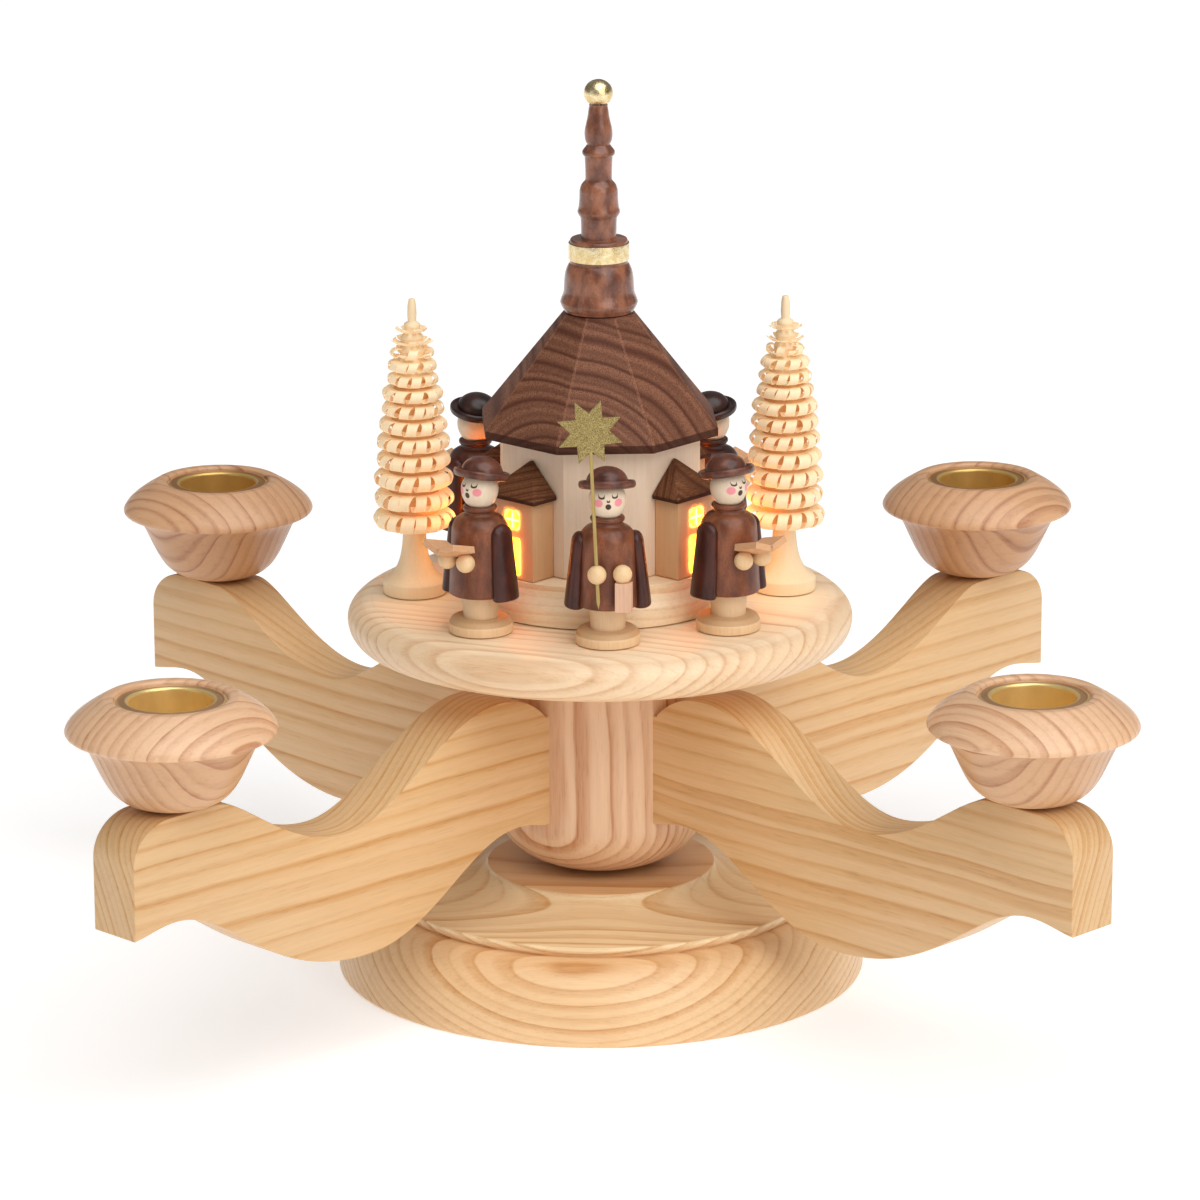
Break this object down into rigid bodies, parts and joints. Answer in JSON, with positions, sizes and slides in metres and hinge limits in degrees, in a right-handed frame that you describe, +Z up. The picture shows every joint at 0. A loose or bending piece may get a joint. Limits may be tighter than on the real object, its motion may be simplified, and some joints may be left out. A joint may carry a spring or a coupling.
{
  "type": "advent candle holder",
  "caption": "Turned wooden candle holder with wave-cut arms and brass-lined cups around a raised stage with a lit church, carol singers and shaved trees.",
  "frame": {"origin": "middle of the base's underside, on the surface the holder stands on", "axes": "+Z up the column towards the spire; -Y is the front, where the star bearer stands; +X is the viewer's right from the front"},
  "size_m": [0.292, 0.292, 0.2632],
  "materials": {
    "pale_ash": "clear satin lacquer on pale ash",
    "warm_ash": "clear satin lacquer on yellowish ash with strong growth rings",
    "rosy_ash": "clear satin lacquer on pinkish ash",
    "lime": "bare fine-grained pale wood",
    "walnut_stain": "dark brown stain under satin lacquer",
    "painted_face": "cream paint with a painted face",
    "brass": "pressed sheet, polished inside and dull on the flange",
    "gilding": "gold paint",
    "glitter": "gold glitter on a thin plate",
    "amber_film": "translucent sleeve lit from inside",
    "black_plastic": "moulded",
    "glass": "clear bulb"
  },
  "bodies": {
    "holder": {"base": "pale_ash", "column": "rosy_ash", "arm_front_left": "warm_ash", "arm_front_right": "warm_ash", "arm_rear_left": "warm_ash", "arm_rear_right": "warm_ash", "candle_cup_front_left": "rosy_ash", "candle_cup_front_right": "rosy_ash", "candle_cup_rear_left": "rosy_ash", "candle_cup_rear_right": "rosy_ash", "platform": "pale_ash", "church_plinth": "pale_ash", "church_walls": "lime", "annex_front_left": "lime", "annex_front_right": "lime", "annex_rear_left": "lime", "annex_rear_right": "lime", "annex_roof_front_left": "walnut_stain", "annex_roof_front_right": "walnut_stain", "annex_roof_rear_left": "walnut_stain", "annex_roof_rear_right": "walnut_stain", "lamp_holder": "black_plastic", "lamp_bulb": "glass", "light_sleeve": "amber_film", "tree_left": "lime", "tree_right": "lime", "star_bearer_stand": "lime", "star_bearer_coat": "walnut_stain", "star_bearer_head": "painted_face", "star_bearer_hat": "walnut_stain", "star_staff": "glitter", "book_in_hand": "lime", "singer_front_left_stand": "lime", "singer_front_left_coat": "walnut_stain", "singer_front_left_head": "painted_face", "singer_front_left_hat": "walnut_stain", "singer_front_left_songbook": "lime", "singer_front_right_stand": "lime", "singer_front_right_coat": "walnut_stain", "singer_front_right_head": "painted_face", "singer_front_right_hat": "walnut_stain", "singer_front_right_songbook": "lime", "singer_rear_left_stand": "lime", "singer_rear_left_coat": "walnut_stain", "singer_rear_left_head": "painted_face", "singer_rear_left_hat": "walnut_stain", "singer_rear_left_songbook": "lime", "singer_rear_right_stand": "lime", "singer_rear_right_coat": "walnut_stain", "singer_rear_right_head": "painted_face", "singer_rear_right_hat": "walnut_stain", "singer_rear_right_songbook": "lime"},
    "roof": {"church_roof": "walnut_stain", "spire": "walnut_stain", "gilded_band": "gilding", "spire_ball": "gilding"},
    "insert_front_left": {"candle_insert_front_left": "brass"},
    "insert_front_right": {"candle_insert_front_right": "brass"},
    "insert_rear_left": {"candle_insert_rear_left": "brass"},
    "insert_rear_right": {"candle_insert_rear_right": "brass"}
  },
  "joints": [
    {"name": "roof_lift", "type": "slide", "parent": "holder", "child": "roof", "axis": [0, 0, 1], "range_m": [0, 0.03]},
    {"name": "insert_lift_front_left", "type": "slide", "parent": "holder", "child": "insert_front_left", "axis": [0, 0, 1], "range_m": [0, 0.016]},
    {"name": "insert_lift_front_right", "type": "slide", "parent": "holder", "child": "insert_front_right", "axis": [0, 0, 1], "range_m": [0, 0.016]},
    {"name": "insert_lift_rear_left", "type": "slide", "parent": "holder", "child": "insert_rear_left", "axis": [0, 0, 1], "range_m": [0, 0.016]},
    {"name": "insert_lift_rear_right", "type": "slide", "parent": "holder", "child": "insert_rear_right", "axis": [0, 0, 1], "range_m": [0, 0.016]}
  ]
}
